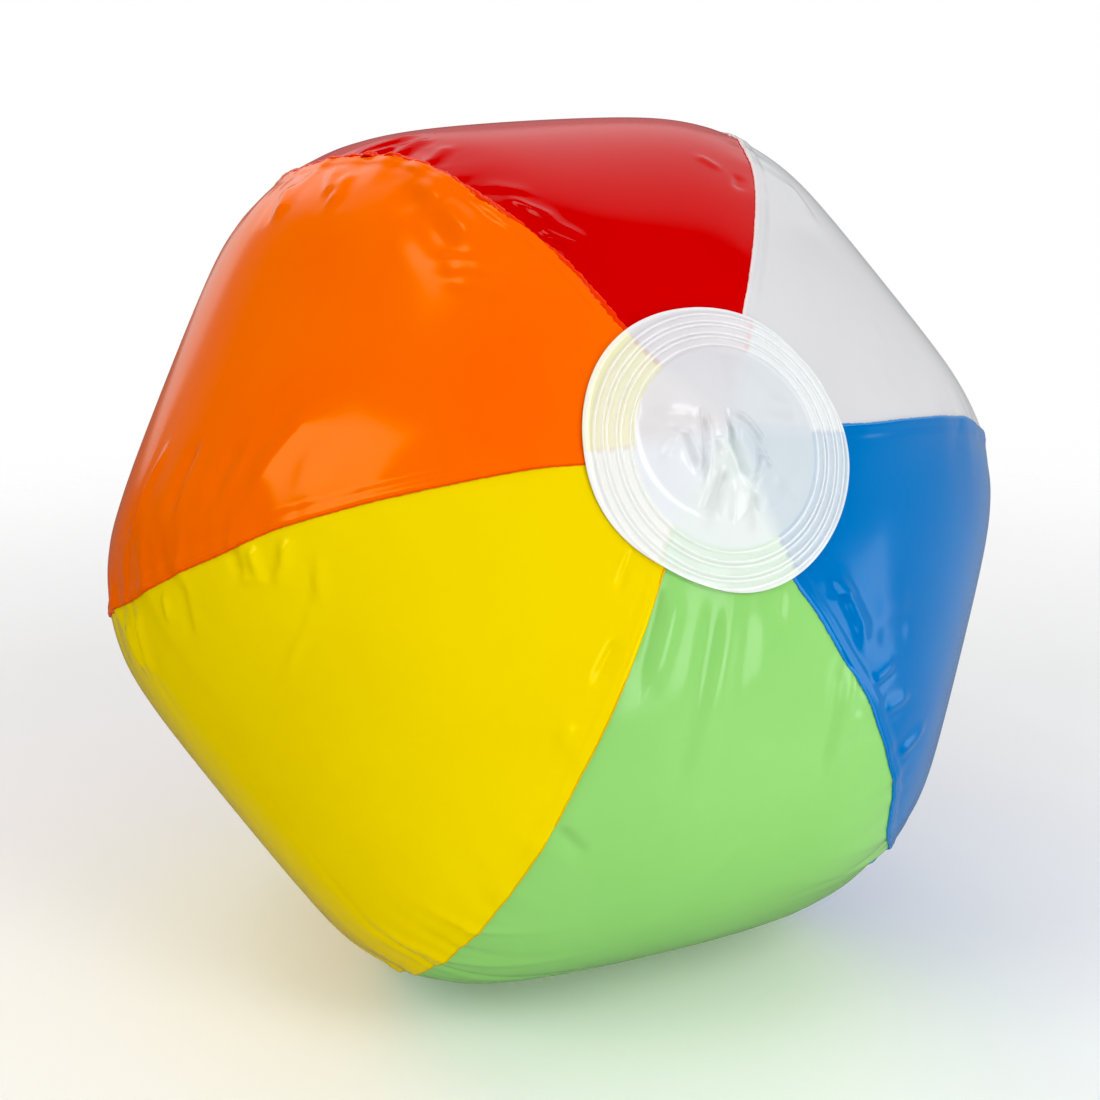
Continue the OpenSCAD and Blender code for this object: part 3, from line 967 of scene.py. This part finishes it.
CAP = [(0.0, 1.38, 0), (2.7, 1.38, 0.3), (3.1, 1.55, 0.2), (4.35, 1.55, 0.1), (4.7, 1.55, 0.1),
       (5.05, 1.55, 0.1), (5.4, 1.5, 0.3), (5.4, 0.56, 0.25), (4.6, 0.55, 0.1), (3.42, 0.55, 0.15),
       (3.3, -0.2, 0.1),
       (3.18, -0.5, 0.1), (3.2, -0.9, 0.1), (3.0, -1.2, 0.1), (2.9, -1.9, 0.1), (2.92, -2.2, 0.1),
       (2.62, -3.0, 0.35), (0.0, -3.0, 0)]
lathe("valve_cap", rounded(CAP, False), False, "plug", "valve_plug", outline=with_tab)

# ---------------------------------------------------------------- floor and light
FLOOR_GLOW = 0.14


def stage():
    """A pale floor that fades at its rim into a white surround, which only the camera sees."""
    m, nt, b = nodes_of("studio_paper")
    N, K = nt.nodes, nt.links
    n_ = N.new("ShaderNodeTexNoise")
    n_.inputs["Scale"].default_value = 40
    r_ = N.new("ShaderNodeValToRGB")
    r_.color_ramp.elements[0].color = (0.80, 0.80, 0.80, 1)
    r_.color_ramp.elements[1].color = (0.82, 0.82, 0.82, 1)
    K.new(n_.outputs["Fac"], r_.inputs["Fac"])
    K.new(r_.outputs["Color"], b.inputs["Base Color"])
    b.inputs["Roughness"].default_value = 0.9
    b.inputs["Specular IOR Level"].default_value = 0.1
    b.inputs["Emission Color"].default_value = (1, 1, 1, 1)
    b.inputs["Emission Strength"].default_value = FLOOR_GLOW
    where = N.new("ShaderNodeTexCoord")
    reach = N.new("ShaderNodeVectorMath")
    reach.operation = "LENGTH"
    fade = N.new("ShaderNodeMapRange")
    fade.interpolation_type = "SMOOTHSTEP"
    fade.inputs["From Min"].default_value, fade.inputs["From Max"].default_value = 0.22, 0.62
    fade.inputs["To Min"].default_value, fade.inputs["To Max"].default_value = 1, 0
    K.new(where.outputs["Object"], reach.inputs[0])
    K.new(reach.outputs["Value"], fade.inputs["Value"])
    K.new(fade.outputs["Result"], b.inputs["Alpha"])
    me = bpy.data.meshes.new("floor")
    me.from_pydata([(-0.7, -0.7, 0), (0.7, -0.7, 0), (0.7, 0.7, 0), (-0.7, 0.7, 0)], [], [(0, 1, 2, 3)])
    ob = bpy.data.objects.new("floor", me)
    scene.collection.objects.link(ob)
    me.materials.append(m)
    ob.visible_glossy = False       # matt paper, too dull for its picture to show in the film
    m, nt, b = nodes_of("studio_surround")
    b.inputs["Base Color"].default_value = (0, 0, 0, 1)
    b.inputs["Specular IOR Level"].default_value = 0
    b.inputs["Emission Color"].default_value = (1, 1, 1, 1)
    b.inputs["Emission Strength"].default_value = 1.0
    rings, sides, far = 12, 32, 8.0
    v = [(far * math.sin(math.pi * i / rings) * math.cos(2 * math.pi * j / sides),
          far * math.sin(math.pi * i / rings) * math.sin(2 * math.pi * j / sides),
          far * math.cos(math.pi * i / rings)) for i in range(rings + 1) for j in range(sides)]
    f = [(i * sides + j, i * sides + (j + 1) % sides, (i + 1) * sides + (j + 1) % sides, (i + 1) * sides + j)
         for i in range(rings) for j in range(sides)]
    me = bpy.data.meshes.new("surround")
    me.from_pydata(v, [], f)
    ob = bpy.data.objects.new("surround", me)
    scene.collection.objects.link(ob)
    me.materials.append(m)
    for ray in ("diffuse", "glossy", "transmission", "volume_scatter", "shadow"):
        setattr(ob, "visible_" + ray, False)


stage()


def softbox(name, azimuth, elevation, distance, width, height, radiance):
    """A soft light in that direction from the ball's middle. Radiance is what its reflection shows."""
    la = bpy.data.lights.new(name, "AREA")
    la.shape = "RECTANGLE"
    la.size, la.size_y = width, height
    la.energy = radiance * math.pi * width * height
    ob = bpy.data.objects.new(name, la)
    scene.collection.objects.link(ob)
    away = towards(azimuth, elevation)
    ob.location = Vector(CENTRE) * MM + away * distance
    ob.rotation_euler = away.to_track_quat("Z", "Y").to_euler()
    ob.visible_camera = False
    return ob


softbox("overhead", 160, 44, 1.4, 2.2, 1.3, 0.46)
softbox("left", -76, 36, 1.3, 0.55, 0.6, 3.8)
softbox("front", 8, -6, 0.42, 0.17, 0.15, 4.2)
softbox("facet", -100, 66, 1.2, 0.3, 0.2, 3.6)
softbox("right", 58, -9, 0.5, 0.17, 0.2, 2.2)
softbox("rim_left", -170, 25, 1.3, 0.5, 1.3, 0.6)
softbox("key", 15, 38, 1.2, 0.42, 0.42, 5.6)
# big scrims, so soft that no picture of them shows in the gloss
softbox("scrim_top", -5, 64, 1.5, 2.4, 1.8, 0.62).visible_glossy = False
softbox("scrim_back", 160, 44, 1.4, 2.2, 1.3, 0.75).visible_glossy = False
GLOW_RIGHT = 0.4
world = bpy.data.worlds.new("studio")
scene.world = world
world.use_nodes = True
wn, wl = world.node_tree.nodes, world.node_tree.links
wc = wn.new("ShaderNodeTexCoord")
wx = wn.new("ShaderNodeSeparateXYZ")
wr = wn.new("ShaderNodeValToRGB")
wr.color_ramp.elements[0].position, wr.color_ramp.elements[1].position = 0.0, 0.14
wr.color_ramp.elements[0].color = (0.15, 0.15, 0.15, 1)
wr.color_ramp.elements[1].color = (0.32, 0.32, 0.32, 1)
wl.new(wc.outputs["Generated"], wx.inputs["Vector"])
wl.new(wx.outputs["Z"], wr.inputs["Fac"])
# a broad low glow from the right, which gives the blue gore its pale edge
glow = []
for axis, lo, hi, a_, b_ in (("X", 0.45, 0.92, 0.0, GLOW_RIGHT), ("Z", 0.1, 0.5, 1.0, 0.0)):
    side = wn.new("ShaderNodeMapRange")
    side.interpolation_type = "SMOOTHSTEP"
    side.inputs["From Min"].default_value, side.inputs["From Max"].default_value = lo, hi
    side.inputs["To Min"].default_value, side.inputs["To Max"].default_value = a_, b_
    wl.new(wx.outputs[axis], side.inputs["Value"])
    glow.append(side)
both = wn.new("ShaderNodeMath")
both.operation = "MULTIPLY"
wl.new(glow[0].outputs["Result"], both.inputs[0])
wl.new(glow[1].outputs["Result"], both.inputs[1])
total = wn.new("ShaderNodeVectorMath")
total.operation = "ADD"
wl.new(wr.outputs["Color"], total.inputs[0])
wl.new(both.outputs["Value"], total.inputs[1])
wl.new(total.outputs["Vector"], wn["Background"].inputs["Color"])
wn["Background"].inputs["Strength"].default_value = 1.0
scene.view_settings.view_transform = "Standard"
scene.view_settings.use_curve_mapping = True
scene.view_settings.curve_mapping.black_level = (0.02, 0.02, 0.02)
scene.view_settings.curve_mapping.update()
